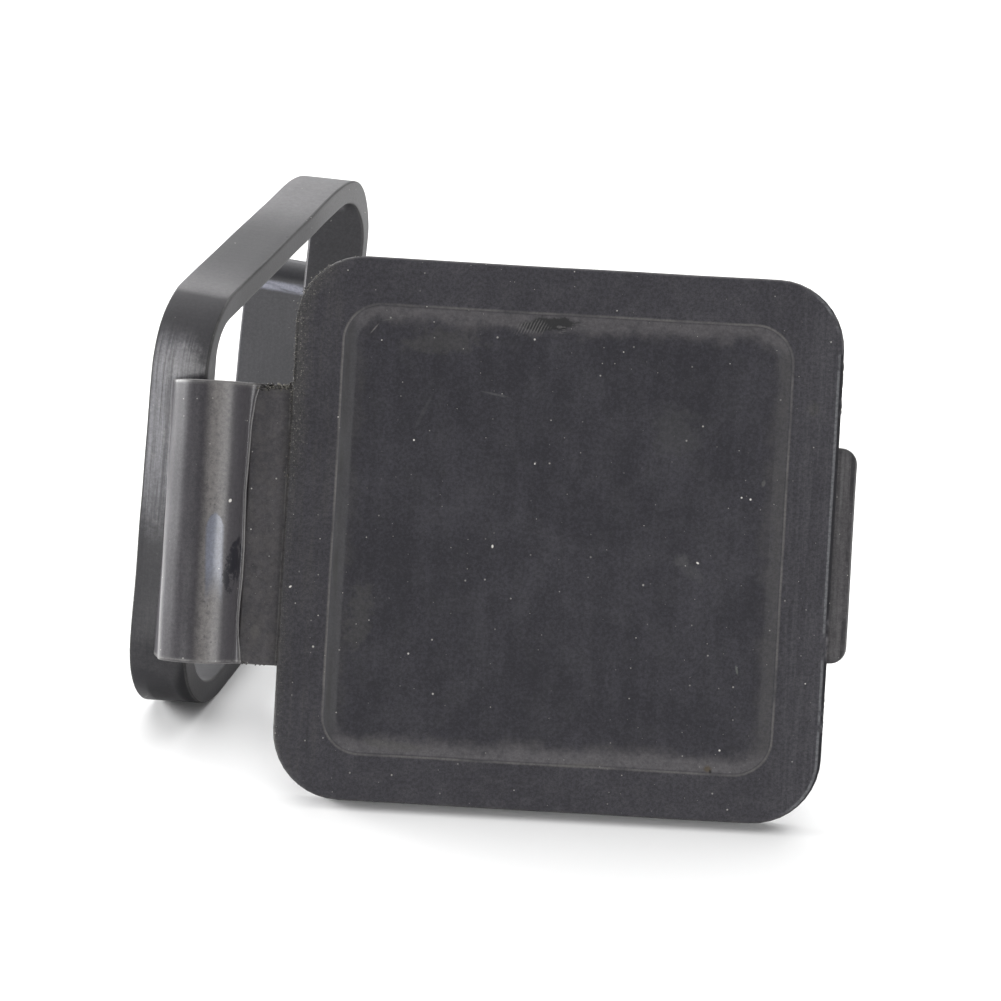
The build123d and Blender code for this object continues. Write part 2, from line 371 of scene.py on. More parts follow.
# %% Lid
LID = (85.8, 85.1, 10.7)  # width, height and corner radius
LID_THICK, LID_RIM = 4.0, 0.5
PANEL, PANEL_CORNER, SHOULDER, SUNK = 70.4, 6.0, 2.1, 0.9
PANEL_SHIFT = -0.15
PLUG, PLUG_CORNER, PLUG_HOLLOW = 49.6, 5.0, 44.0
profile = []
for share in (0.03, 0.12, 0.25, 0.4, 0.55, 0.7, 0.82, 0.92, 0.98):
    side = (PANEL - 2 * SHOULDER - 0.6) * share
    profile.append(square_ring(side, side, 3.6 * share, -SUNK, cx=PANEL_SHIFT))
for inset, depth, rub in ((SHOULDER + 0.25, SUNK, 0.0), (SHOULDER + 0.05, SUNK - 0.03, 0.1),
                          (SHOULDER - 0.15, SUNK - 0.1, 0.15), (SHOULDER * 0.5, SUNK * 0.5, 0.0), (0.22, 0.12, 0.5),
                          (0.08, 0.05, 1.0), (-0.06, 0.015, 1.0), (-0.28, 0.0, 0.5), (-0.6, 0.0, 0.0)):
    side = PANEL - 2 * inset
    profile.append(square_ring(side, side, PANEL_CORNER - inset, -depth, rub, PANEL_SHIFT))
for share in (0.3, 0.65, 0.9):  # the flat border, from the panel's square to the lid's
    side, grow = PANEL + 1.2, (LID[0] - 1.0 - PANEL - 1.2) * share
    corner = 6.6 + (LID[2] - 7.1) * share
    profile.append(square_ring(side + grow, side + grow * 0.955, corner, 0.0, cx=PANEL_SHIFT * (1 - share)))
for out, down in quarter(6):
    width, height = (size - 1.0 + out for size in LID[:2])
    rub = 0.5 + 0.5 * math.sin(math.pi * down)
    profile.append(square_ring(width, height, LID[2] - LID_RIM + LID_RIM * out, -LID_RIM * down, rub))
for depth in (0.9, 1.5, 2.2, 3.0, 3.7):
    profile.append(square_ring(LID[0] + depth * 0.0175, LID[1] + depth * 0.0175, LID[2], -depth))
for out, down in quarter(3)[1:]:
    width, height = (size + 0.065 - 0.6 * down for size in LID[:2])
    profile.append(square_ring(width, height, LID[2] - 0.3 * down, -3.7 - 0.3 * out, 0.5))
for share in (0.25, 0.6, 0.9, 1.0):  # the back, in to the plug
    side = LID[0] - 0.6 + (PLUG - LID[0] + 0.6) * share
    profile.append(square_ring(side, side, 10.4 + (PLUG_CORNER - 10.4) * share, -LID_THICK))
for depth, side, corner in ((4.3, 49.55, 5.0), (7.5, 49.3, 4.9), (11.2, 49.1, 4.7), (11.6, 48.9, 4.6),
                            (11.9, 48.4, 4.4), (12.0, 47.7, 4.0), (12.0, 45.0, 2.8), (11.8, 44.5, 2.5),
                            (11.4, 44.4, 2.4), (7.0, 44.4, 2.4), (4.3, 44.4, 2.4), (4.0, 44.0, 2.3)):
    profile.append(square_ring(side, side, corner, -depth))
for share in (0.75, 0.4, 0.1):
    profile.append(square_ring(PLUG_HOLLOW * share, PLUG_HOLLOW * share, 2.3 * share, -LID_THICK))
lid = skin("cover_lid", profile[::-1], LID_FRAME)
wander(lid, 0.07, 14.0, 2)

# %% [markdown]
# ## Pad and finger tab
# Two thin slabs stand out of the lid's edges: the hinge pad beside the arch, and the tab that a finger lifts.
# Each is a stack of rounded rectangles again, sunk into the lid's side so that no gap can show.

# %% Slabs
def slab(name, width, height, corner, top, thick, cx, cy, edge):
    """A rounded slab from z = top down by its thickness, with its face at the top."""
    def ring(grow, radius, z, wear=0.0, share=1.0):
        return square_ring((width - grow) * share, (height - grow) * share, radius, z, wear, cx, cy, 24, 8)

    stack = [ring(2 * edge, corner * share, top, share=share) for share in (0.02, 0.3, 0.6, 0.85)]
    for out, down in quarter(5):
        inset = edge * (1 - out)
        stack.append(ring(2 * inset, corner - inset, top - edge * down, 0.5 + 0.5 * math.sin(math.pi * down)))
    stack.append(ring(0.0, corner, top - thick * 0.5))
    for out, down in quarter(3)[::-1]:
        inset = edge * (1 - out)
        stack.append(ring(2 * inset, corner - inset, top - thick + edge * down, 0.4))
    stack += [ring(2 * edge, corner * share, top - thick, share=share) for share in (0.8, 0.1)]
    return skin(name, stack[::-1], LID_FRAME)


HINGE_LOW, HINGE_HIGH = -22.2, 21.7
SEAM_Y = [-22.2, -20.0, -17.6, -15.6, -11.7, -9.0, -4.0, 4.6, 10.4, 15.5, 19.4, 21.7]
SEAM_X = [-48.7, -48.95, -49.3, -49.45, -49.35, -49.2, -49.15, -49.35, -49.25, -49.1, -48.7, -48.0]


def seam(y):
    """Where the web's lip lies on the pad, a wavy line up the hinge."""
    return float(np.interp(y, SEAM_Y, SEAM_X))


PAD_WIDTH, PAD_OUTER, PAD_TOP = 9.1, -49.0, -0.8
TAB_WIDTH, TAB_REACH = 6.1, 3.1
pad = slab("hinge_pad", PAD_WIDTH, 43.4, 1.8, PAD_TOP, 2.3, PAD_OUTER + PAD_WIDTH / 2, -0.5, 0.25)
tab = slab("finger_tab", TAB_WIDTH, 33.9, 2.6, -1.3, 2.1, LID[0] / 2 + TAB_REACH - TAB_WIDTH / 2, 0.0, 0.35)
wander(pad, 0.05, 6.0, 3)
wander(tab, 0.06, 6.0, 4)

# %% [markdown]
# ## The arched web
# One thin sheet of rubber leaves the band's hinge-side wall, rises in a half round arch and dives under the pad.
# This is what bends when the lid is opened. Its section is drawn across the hinge, and its foot follows the
# band's wall, which falls away from the lid towards the floor, so a ring is drawn at many heights.

# %% Web
ARCH_RADIUS, WEB_THICK = 6.05, 1.3
ARCH_X = -49.2 - 0.35 - ARCH_RADIUS
ARCH_Z = -1.0
ROOT_X = BAND_WIDTH / 2 - 0.57 * BAND_WIDTH  # where the web meets the band, along the tube


def web_root(height):
    """Where the web meets the band's wall, at a height in the lid's frame."""
    low, high = -HALF_HEIGHT, HALF_HEIGHT
    for _ in range(40):
        z = (low + high) / 2
        away = Vector((ROOT_X, near_wall(z, 0), z)) - LID_MIDDLE
        if away.dot(lid_up) < height:
            low = z
        else:
            high = z
    return away.dot(lid_right), away.dot(lid_out)


def web_ring(height, slim, rim):
    """The web's section and its wear. slim takes that much off all round, for the rounded rims."""
    root_x, root_z = web_root(height)
    outer, inner = ARCH_RADIUS - slim, ARCH_RADIUS - WEB_THICK + slim
    shift = root_x - (ARCH_X - ARCH_RADIUS)
    sunk = min(root_z - 1.8, ARCH_Z - 1.0)
    across = []  # (x, z) round the section
    for i in range(8):  # up the foot's outside
        t = i / 8
        across.append((ARCH_X - outer + shift * (1 - t), sunk + (ARCH_Z - sunk) * t))
    for i in range(33):  # over the arch
        a = math.pi - (math.pi - 0.16) * i / 32
        across.append((ARCH_X + outer * math.cos(a), ARCH_Z + outer * math.sin(a)))
    start = len(across)
    edge, top = seam(height), PAD_TOP - slim
    across += [(edge + x, top + z) for x, z in ((-0.22, 0.1), (-0.06, 0.12), (0.1, 0.1), (0.2, 0.01), (0.24, -0.2))]
    flap, under = ARCH_Z - 0.55 - slim, ARCH_Z - 0.55 - WEB_THICK + slim
    across += [(x, flap) for x in (-46.0, -43.0, -41.5)] + [(x, under) for x in (-41.5, -43.0, -46.0)]
    across += [(ARCH_X + inner + 0.3, under), (ARCH_X + inner + 0.05, under + 0.25)]
    for i in range(25):  # back under the arch
        a = math.pi * i / 24
        across.append((ARCH_X + inner * math.cos(a), ARCH_Z + inner * math.sin(a)))
    for i in range(1, 9):  # down the foot's inside
        across.append((ARCH_X - inner + shift * i / 8, ARCH_Z + (sunk - ARCH_Z) * i / 8))
    marks = [rim] * len(across)
    marks[start:start + 4] = [rim, 1.0, 1.0, 0.8] if height < 17 else [rim, 0.7, 0.9, 0.6]
    return [(x, height, z) for x, z in across], marks


ROUND = 0.25
flat_part = HINGE_HIGH - HINGE_LOW - 2 * ROUND
stations = [(HINGE_LOW + ROUND * down, ROUND * (1 - out), 1.0 - 0.4 * down) for out, down in quarter(4)]
stations += [(HINGE_LOW + ROUND + flat_part * i / 90, 0.0, 0.6 if i in (1, 89) else 0.0) for i in range(1, 90)]
stations += [(HINGE_HIGH - ROUND * down, ROUND * (1 - out), 1.0 - 0.4 * down) for out, down in quarter(4)[::-1]]
web = skin("arched_web", [web_ring(*station) for station in stations], LID_FRAME)
wander(web, 0.10, 8.0, 5)

# %% [markdown]
# ## The pull tongue
# A plate on the outside of the far wall, standing out behind the band, for pulling the cover off the tube. Its
# upper and lower ends are rounded towards the tube. It gets its own frame: X along the tube, Y up the wall.

# %% Tongue
REACH, OVERLAP, LENGTH, THICK, END = 12.0, 6.2, 29.4, 4.6, 3.4
tongue_out = Vector((0, math.cos(FAR_LEAN), -math.sin(FAR_LEAN)))
tongue_up = Vector((0, math.sin(FAR_LEAN), math.cos(FAR_LEAN)))
WIDE = REACH + OVERLAP
tongue_seat = Vector((-BAND_WIDTH / 2 - REACH + WIDE / 2, far_wall(0, 0) - FAR_SPLAY, 0)) - tongue_out * 1.1
TONGUE_FRAME = frame_at(tongue_seat, Vector((1, 0, 0)), -tongue_up, -tongue_out)
TIP = 0.8


def tongue_ring(width, length, corner, z, wear=0.0):
    return square_ring(width, length, corner, z, wear, side=24, bend=8)


stack = []
for share in (0.05, 0.35, 0.65, 0.9):
    stack.append(tongue_ring((WIDE - 2 * TIP) * share, (LENGTH - 2 * END) * share, 2.4 * share, 0.0))
for out, down in quarter(12):
    depth = END * down
    inset = TIP * (1 - math.sqrt(max(0.0, 1 - (1 - min(1.0, depth / TIP)) ** 2)))
    stack.append(tongue_ring(WIDE - 2 * inset, LENGTH - 2 * END * (1 - out), 3.0 - inset, -depth, 0.35))
for depth, trim in ((THICK - 0.4, 0.0), (THICK - 0.13, 0.26), (THICK, 0.9)):
    stack.append(tongue_ring(WIDE - trim, LENGTH - trim, 3.0 - trim / 2, -depth, 0.5))
stack.append(tongue_ring(2.0, 3.0, 0.5, -THICK))
tongue = skin("pull_tongue", stack[::-1], TONGUE_FRAME)
wander(tongue, 0.06, 7.0, 6)

# %% [markdown]
# ## Flash and crumbs
# Where the mould's halves met, a thin skin of rubber was squeezed out and never quite trimmed: two ragged pale
# strips along the lid's free edge. Chafed corners have crumbs. Both are real shapes here, because they break
# the outline: the strips are ribbons with a random reach, the crumbs small battered lumps.

# %% Flash strips
ROOT = 42.3  # inside the lid's edge


def flash_strip(name, low, high, reach, seed):
    """A thin ragged ribbon out of the lid's free edge, between two heights."""
    chance = Random(seed)
    rings = []
    count = int((high - low) / 0.3)
    for i in range(count + 1):
        y = low + (high - low) * i / count
        fade = min(1.0, 4 * i / count, 4 * (count - i) / count)
        wave = 0.75 + 0.25 * noise.noise(Vector((y * 0.5, seed, 0)))
        out = LID[0] / 2 + reach * fade * wave + chance.uniform(-0.06, 0.06) * fade
        back = -3.25 + 0.12 * noise.noise(Vector((y * 0.8, seed, 3)))
        corners = ((ROOT, 0), (out - 0.08, 0.02), (out, -0.05), (out, -0.13), (out - 0.08, -0.2), (ROOT, -0.2))
        rings.append(([(x, y, back + z) for x, z in corners], [0.2, 0.7, 1.0, 1.0, 0.7, 0.2]))
    return skin(name, rings, LID_FRAME)


flash_high = flash_strip("edge_flash_high", 18.5, 33.5, 0.50, 11)
flash_low = flash_strip("edge_flash_low", -31.5, -17.2, 0.45, 12)


# %% Crumbs
def crumbs(name, path, count, small, large, spread, seed):
    """Small battered lumps scattered along a path of points in the lid's frame."""
    chance = Random(seed)
    points, faces, marks = [], [], []
    for _ in range(count):
        where = chance.random() * (len(path) - 1)
        i = min(int(where), len(path) - 2)
        middle = Vector(path[i]).lerp(Vector(path[i + 1]), where - i)
        middle += Vector((chance.gauss(0, spread), chance.gauss(0, spread), chance.uniform(-0.05, 0.05)))
        size = chance.uniform(small, large) / 2
        turn = chance.uniform(0, math.pi)
        first = len(points)
        for level, radius in ((-0.5, 0.75), (0.15, 1.0), (0.6, 0.6)):  # three rings of seven points
            for k in range(7):
                a = turn + 2 * math.pi * k / 7
                r = size * radius * chance.uniform(0.65, 1.25)
                points.append(middle + Vector((r * math.cos(a), r * math.sin(a) * 0.8, size * level)))
        points.append(middle + Vector((0, 0, size * 0.8)))
        for row in (0, 7):
            for k in range(7):
                here, on = first + row + k, first + row + (k + 1) % 7
                faces.append((here, on, on + 7, here + 7))
        faces += [(first + 14 + k, first + 14 + (k + 1) % 7, first + 21) for k in range(7)]
        faces.append(tuple(first + k for k in reversed(range(7))))
        marks += [chance.choice((0.0, 0.0, 0.7, 1.0))] * 22
    return make_piece(name, points, faces, marks, LID_FRAME)


CORNER_PATH = [(-33.5, 42.0, -0.25), (-38.5, 40.2, -0.2), (-41.6, 36.5, -0.2), (-42.6, 31.0, -0.2),
               (-42.6, 20.0, -0.2), (-42.6, 6.0, -0.25)]
PAD_PATH = [(-48.6, 21.1, -0.85), (-46.2, 21.2, -0.8), (-44.6, 21.5, -0.8), (-43.0, 21.9, -0.8)]
LOW_PATH = [(-49.0, -21.9, -1.0), (-46.0, -22.0, -1.0), (-43.4, -21.6, -0.9)]
corner_crumbs = crumbs("corner_crumbs", CORNER_PATH, 1300, 0.08, 0.27, 0.30, 21)
pad_crumbs = crumbs("pad_crumbs", PAD_PATH, 90, 0.16, 0.55, 0.22, 22)
low_crumbs = crumbs("low_crumbs", LOW_PATH, 34, 0.12, 0.36, 0.18, 23)

# %% [markdown]
# ## Pieces and bodies
# The real cover is one moulding and so is the CAD node. These skins meet inside it, so together they stand
# for that one node, and all of them ride on its only body.

# %% Ride on the frame
cover = [band, lid, pad, tab, web, tongue, flash_high, flash_low, corner_crumbs, pad_crumbs, low_crumbs]
for piece in cover:
    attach(piece, "root")
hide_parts("hitch_cover")
print("pieces:", [p.name for p in cover])

# %% [markdown]
# ## Nodes in few words
# The materials below are built from small parts. All these helpers add to the tree in hand, so that a recipe
# reads as a sum: first comes a node with its settings and inputs, then the arithmetic, then soft steps and noise.

# %% Node helpers
tree = None  # the node tree in hand
ORIGIN = (0, 0, 0)


def join(value, socket):
    """A number, colour or vector goes on the socket; an output is linked to it."""
    if isinstance(value, bpy.types.NodeSocket):
        tree.links.new(value, socket)
    else:
        socket.default_value = value


def node(kind, inputs=None, **settings):
    """A new node; its inputs are given by name or number."""
    made = tree.nodes.new(kind)
    for key, value in settings.items():
        setattr(made, key, value)
    for key, value in (inputs or {}).items():
        join(value, made.inputs[key])
    return made


def maths(operation, *values, clamp=False):
    return node("ShaderNodeMath", dict(enumerate(values)), operation=operation, use_clamp=clamp).outputs[0]


def add(first, second, clamp=False):
    return maths("ADD", first, second, clamp=clamp)


def less(first, second):
    return maths("SUBTRACT", first, second)


def flip(value):
    return less(1.0, value)


def larger(first, second):
    return maths("MAXIMUM", first, second)


def size_of(value):
    return maths("ABSOLUTE", value)


def product(*values):
    total = values[0]
    for value in values[1:]:
        total = maths("MULTIPLY", total, value)
    return total


def vector_maths(operation, *values):
    made = node("ShaderNodeVectorMath", dict(enumerate(values)), operation=operation)
    return made.outputs["Value" if operation == "LENGTH" else "Vector"]


def split(vector):
    return node("ShaderNodeSeparateXYZ", {"Vector": vector}).outputs


def plane(x, y):
    """A place on a flat plane, for marks and dust that aren't laid in X and Y."""
    return node("ShaderNodeCombineXYZ", {"X": x, "Y": y}).outputs["Vector"]


def turned(place, middle, angle):
    """The place, moved so that the middle is at zero and turned about Z by that angle in radians."""
    inputs = {"Vector": vector_maths("SUBTRACT", place, middle), "Angle": angle}
    return node("ShaderNodeVectorRotate", inputs, rotation_type="Z_AXIS").outputs["Vector"]


def blend(share, first, second):
    """first where share is 0 and second where it is 1, for colours."""
    return node("ShaderNodeMix", {0: share, 6: first, 7: second}, data_type="RGBA").outputs[2]


def ramp(value, low, high, start=0.0, end=1.0):
    """start at low, end at high and beyond, and smooth between them. low may be the larger one."""
    inputs = {"Value": value, "From Min": low, "From Max": high, "To Min": start, "To Max": end}
    return node("ShaderNodeMapRange", inputs, interpolation_type="SMOOTHSTEP").outputs["Result"]


def line(value, middle, half, soft):
    """1 within half of the middle, and nothing beyond half + soft."""
    return ramp(size_of(less(value, middle)), half, half + soft, 1.0, 0.0)


def grain(place, scale, detail=3.0, rough=0.55):
    inputs = {"Vector": place, "Scale": scale, "Detail": detail, "Roughness": rough}
    return node("ShaderNodeTexNoise", inputs).outputs["Fac"]


def drawn_grain(place, stretch, detail=3.0, rough=0.6):
    """Noise drawn out into streaks: small numbers in stretch make it long that way."""
    return grain(vector_maths("MULTIPLY", place, stretch), 1.0, detail, rough)


def group(name, results, **inputs):
    """Takes a new node group in hand; gives what goes in and where the results go.

    An input is a float, a vector or a colour, as its first value is. An underline stands for a space.
    """
    global tree
    tree = bpy.data.node_groups.new(name, "ShaderNodeTree")
    for key, value in inputs.items():
        kind = "NodeSocket" + ({3: "Vector", 4: "Color"}[len(value)] if isinstance(value, tuple) else "Float")
        socket = tree.interface.new_socket(key.replace("_", " "), in_out="INPUT", socket_type=kind)
        socket.default_value = value
    for title in results:
        kind = "NodeSocketColor" if title == "Color" else "NodeSocketFloat"
        tree.interface.new_socket(title, in_out="OUTPUT", socket_type=kind)
    return tree.nodes.new("NodeGroupInput").outputs, tree.nodes.new("NodeGroupOutput").inputs


def use(name, **inputs):
    """The outputs of that group, placed in the tree in hand. An underline stands for a space."""
    inputs = {key.replace("_", " "): value for key, value in inputs.items()}
    return node("ShaderNodeGroup", inputs, node_tree=bpy.data.node_groups[name]).outputs


def dots(place, per_millimetre, radius, kept):
    """Scattered specks, from the dust group."""
    return use("dust", Place=place, Per_Millimetre=per_millimetre, Radius=radius, Kept=kept)["Speck"]


# %% [markdown]
# ## Old rubber
# Close up, the rubber is a blue-black grey that is never one tone: a fine grain, clouds a few centimetres
# across where it has been handled, and long faint wipe marks. One group makes these three, and each part gives
# it its own amounts and the direction of its wipes.

# %% Rubber tone group
given, made = group(
    "rubber_tone", ("Color", "Height", "Cloudy", "Torn", "Fine"), Place=ORIGIN, Dark=(0.04, 0.04, 0.045, 1),
    Light=(0.08, 0.08, 0.085, 1), Wipe_Scale=(0.7, 0.04, 0.7), Wipe=0.4, Cloud=0.5,
)
fine = grain(given["Place"], 1.9, 4.0, 0.9)
cloud = ramp(grain(given["Place"], 0.06, 4.0, 0.65), 0.34, 0.66)
wipes = ramp(drawn_grain(given["Place"], given["Wipe Scale"], rough=0.65), 0.35, 0.75)
level = product(less(fine, 0.5), 2.6)
level = add(level, product(cloud, given["Cloud"]))
level = add(level, product(wipes, given["Wipe"]), clamp=True)
join(blend(level, given["Dark"], given["Light"]), made["Color"])
join(add(fine, product(wipes, 0.5)), made["Height"])
join(cloud, made["Cloudy"])
join(less(grain(given["Place"], 0.7, 4.0, 0.7), 0.5), made["Torn"])
join(fine, made["Fine"])
print("rubber_tone:", len(tree.nodes), "nodes")

# %% [markdown]
# ## Dust
# White lint specks lie all over it, sharp and a tenth of a millimetre or two across. A Voronoi pattern gives
# one point to each square of the plane; keeping only the points of some cells, each with its own size, leaves
# them scattered. A noise threshold would give ragged blots instead.

# %% Dust group
given, made = group("dust", ("Speck",), Place=ORIGIN, Per_Millimetre=0.16, Radius=0.22, Kept=0.5)
where = {"Vector": given["Place"], "Scale": given["Per Millimetre"]}
cells = node("ShaderNodeTexVoronoi", where, voronoi_dimensions="2D")
pick = node("ShaderNodeSeparateColor", {"Color": cells.outputs["Color"]})
chosen = maths("LESS_THAN", pick.outputs["Red"], given["Kept"])
reach = product(given["Radius"], given["Per Millimetre"], add(maths("POWER", pick.outputs["Green"], 3.0), 0.35))
near = ramp(maths("DIVIDE", cells.outputs["Distance"], reach), 0.5, 1.1, 1.0, 0.0)
bright = add(product(pick.outputs["Blue"], 0.7), 0.3)
join(product(near, chosen, bright), made["Speck"])
print("dust:", len(tree.nodes), "nodes")

# %% [markdown]
# ## Marks
# Smears, scuffs and stains are put where the eye expects them on this cover. Each is a soft ellipse whose edge
# the torn noise has eaten. One group makes the mask, and the material says what it does: a pale scuff, a brown
# stain, a painted highlight or a patch that is cleaner and glossier than the rest.

# %% Mark group
given, made = group(
    "mark", ("Mask",), Place=ORIGIN, Torn=0.0, Middle=ORIGIN, Turn=0.0, Half_Size=(1, 1, 100), Ragged=0.3, Soft=0.5,
)
flat = vector_maths("DIVIDE", turned(given["Place"], given["Middle"], given["Turn"]), given["Half Size"])
edge = add(vector_maths("LENGTH", flat), product(given["Torn"], given["Ragged"], 4.0))
join(ramp(edge, flip(given["Soft"]), 1.05, 1.0, 0.0), made["Mask"])

# %% [markdown]
# ## Worn edges
# Edges that rub go paler and a little brown, in broken lines. The wear value that the skins carry says where an
# edge is, and noise breaks it up.

# %% Worn edge group
given, made = group("worn_edge", ("Mask",), Place=ORIGIN, Wear=0.0, Broken=0.5, Scale=0.35)
gaps = ramp(grain(given["Place"], given["Scale"], 4.0, 0.75), 0.3, 0.7)
kept = flip(product(given["Broken"], flip(gaps)))
join(product(ramp(given["Wear"], 0.45, 1.0), kept), made["Mask"])
print("groups:", [g.name for g in bpy.data.node_groups])

# %% [markdown]
# ## How a material is built up
# Every part is the same rubber, but each has had its own life, so each gets its own material from the same
# groups. A small class keeps the colour while layers are laid on it: first the tone, then the part's own stains,
# marks, painted highlights and painted shade, the worn edges, and the dust last.

# %% Layered material
def tone(levels):
    """A colour from its red, green and blue in thousandths of full brightness."""
    return (*(level / 1000 for level in levels), 1)


class Rubber:
    """A material in hand. dark and light are the ends of its tone; specks is the share of dust that is kept."""

    def __init__(self, name, dark, light, wipe_scale, wipe, cloud, specks):
        global tree
        self.material = bpy.data.materials.new(name)
        self.material.use_nodes = True
        tree = self.material.node_tree
        self.shader = tree.nodes["Principled BSDF"]
        self.place = node("ShaderNodeAttribute", attribute_name="place").outputs["Vector"]
        self.wear = node("ShaderNodeAttribute", attribute_name="wear").outputs["Fac"]
        self.tone = use("rubber_tone", Place=self.place, Dark=tone(dark), Light=tone(light), Wipe_Scale=wipe_scale,
                        Wipe=wipe, Cloud=cloud)
        self.colour = self.tone["Color"]
        self.specks = specks
        self.coarse = 0.22  # how much the grain darkens what lies over the tone
        self.spread = self.place  # where the dust's plane lies; X and Y are used
        self.lint = []

    def layer(self, levels, share, *masks):
        """Lays a colour with that share where all the masks are 1."""
        self.colour = blend(product(*masks, share), self.colour, tone(levels))

    def mark(self, x, y, half_x, half_y, turn=0.0, ragged=0.3, soft=0.5, place=None):
        """The mask of a soft ellipse, from its middle, its half sizes and its turn in degrees."""
        return use("mark", Place=place or self.place, Torn=self.tone["Torn"], Middle=(x, y, 0), Ragged=ragged,
                   Turn=math.radians(turn), Half_Size=(half_x, half_y, 100), Soft=soft)["Mask"]

    def finish(self, roughness, edge_levels, edge_share, broken=0.6, bump=0.03, edge_scale=0.35):
        """Grain, worn edges and dust on top, then the shader's own sockets."""
        self.layer((8, 8, 10), self.coarse, ramp(self.tone["Fine"], 0.60, 0.40))
        edge = use("worn_edge", Place=self.place, Wear=self.wear, Broken=broken, Scale=edge_scale)["Mask"]
        self.layer(edge_levels, edge_share, edge)
        dust = dots(self.spread, 0.16, 0.15, self.specks)
        dust = larger(dust, product(dots(self.spread, 0.42, 0.13, self.specks * 0.6), 0.5))
        for mask in self.lint:
            dust = larger(dust, mask)
        self.layer((720, 700, 660), 1.0, dust)
        join(self.colour, self.shader.inputs["Base Color"])
        join(roughness, self.shader.inputs["Roughness"])
        relief = node("ShaderNodeBump", {"Height": self.tone["Height"], "Strength": 0.4, "Distance": bump * MM})
        join(relief.outputs["Normal"], self.shader.inputs["Normal"])
        print(self.material.name, len(tree.nodes), "nodes")


# %% [markdown]
# ## The lid's face
# The panel's edge is the lid's strongest line: a painted highlight along its thin crest, a brown dusty shoulder
# whose inner side runs out in uneven tongues, and the darker, bluer floor. The distance to a rounded square, worked
# out from the place, puts each of them where the skin has its shoulder. The hinge side has long wipe marks, and the
# corner above it is chafed to crumbs.

# %% Distance to a rounded square
def square_distance(place, half, corner, shift=0.0):
    """Millimetres outside a rounded square; negative inside it."""
    flat = vector_maths("MULTIPLY", vector_maths("SUBTRACT", place, (shift, 0, 0)), (1, 1, 0))
    away = vector_maths("SUBTRACT", vector_maths("ABSOLUTE", flat), (half - corner, half - corner, 0))
    outside = vector_maths("LENGTH", vector_maths("MAXIMUM", away, (0, 0, 0)))
    x, y, _ = split(away)
    inside = maths("MINIMUM", larger(x, y), 0.0)
    return less(add(outside, inside), corner)


# %% Lid material
L = Rubber("lid_rubber", (20.5, 19.3, 26), (47, 44.7, 56), (0.45, 0.05, 1), 0.35, 0.35, 0.42)
place = L.place
plain = L.colour
x, y, z = split(place)
away = square_distance(place, PANEL / 2, PANEL_CORNER, PANEL_SHIFT)
front = ramp(z, -2.0, -1.6)
border = product(ramp(away, -0.2, 0.1), front)
L.layer((59, 56, 66), 0.45, border)
L.layer((85, 81, 90), 0.3, border, ramp(grain(place, 0.35, 4.0, 0.7), 0.45, 0.65))
L.coarse = ramp(away, -0.2, 0.1, 0.28, 0.5)
wide = drawn_grain(place, (1.0, 0.07, 1), 4.0, 0.7)
# brown dust on the shoulder, running out over the floor in tongues
tongues = product(less(grain(place, 0.26, 4.0, 0.65), 0.5), 6.5)
dusty = product(ramp(add(away, tongues), -4.2, -0.8), ramp(away, -0.5, -0.1, 1.0, 0.0),
                ramp(grain(place, 0.9, 4.0, 0.7), 0.2, 0.65, 0.35, 1.0))
L.layer((62, 59, 60), ramp(x, -35.0, -31.0, 0.35, 0.75), dusty)
low_side = ramp(y, -30.0, -34.0)
L.layer((127, 120, 128), 0.7, dusty, low_side)
L.layer((122, 114, 122), 0.65, dusty, ramp(y, 30.0, 33.5))
# crest of the shoulder: a painted highlight line that comes and goes
slope = product(line(away, -1.15, 0.8, 0.5), ramp(x, -32.5, -34.5))
L.layer((14, 13, 16), 0.6, slope)
crest_highlight = product(line(away, -0.02, 0.05, 0.2), front, ramp(grain(place, 0.12, 3.0), 0.35, 0.6))
L.layer((160, 150, 145), 0.6, crest_highlight)
# a dark dirt line in the foot beside the crest, down the hinge side
foot = product(line(away, -0.8, 0.1, 0.5), ramp(x, -34.6, -33.0, 1.0, 0.0),
               ramp(drawn_grain(place, (0.35, 0.1, 0.35)), 0.42, 0.62))
L.layer((10, 9, 9), 0.85, foot)
# wipe marks down the two side borders
left = ramp(x, -36.5, -34.8, 1.0, 0.0)
L.layer((70, 66, 66), 0.45, left, ramp(wide, 0.45, 0.68))
L.layer((20, 19, 22), 0.4, left, ramp(wide, 0.42, 0.32))
right = product(ramp(x, 35.0, 36.5), ramp(drawn_grain(place, (1.6, 0.05, 1)), 0.4, 0.7))
L.layer((82, 80, 90), 0.6, right)
# the free edge: a painted highlight along its rounding, and painted shade on the side face outside it there and at
# the upper hinge corner
side = square_distance(place, LID[0] / 2, LID[2])
free = product(ramp(x, 36.0, 40.0), ramp(grain(place, 0.2, 3.0, 0.6), 0.35, 0.5))
L.layer((200, 205, 215), 0.7, line(side, -0.75, 0.10, 0.18), free)
torn = product(ramp(x, -37.0, -41.0), ramp(y, 21.0, 23.0))
rim = product(ramp(side, -0.55, -0.4), larger(free, torn))
L.layer((8, 8, 10), 0.85, rim)
# a broken painted highlight along the hinge side's rim, up to where the pad leaves it
painted_highlight = product(ramp(L.wear, 0.5, 0.9), ramp(x, -41.5, -42.3), ramp(L.tone["Torn"], -0.15, 0.12, 0.1, 1.0))
L.layer((190, 185, 180), 0.6, painted_highlight, ramp(y, 22.0, 20.0))
# chafed crumbs at the upper hinge corner and on down that edge
chafed = larger(L.mark(-42.0, 26.0, 10.0, 24.0, 0.0, 0.35, 0.5), ramp(x, -40.5, -42.3, 0.0, 0.45))
chafed = product(ramp(add(side, product(L.tone["Torn"], 5.0)), -3.2, -0.6), chafed)
L.layer((70, 67, 64), 0.6, chafed)
grit = dots(place, 3.4, 0.12, 0.6)
L.layer((270, 255, 230), 0.85, grit, chafed)
pits = dots(vector_maths("ADD", place, (7.7, 3.1, 0)), 2.9, 0.14, 0.6)
L.layer((7, 7, 7), 0.85, pits, chafed)
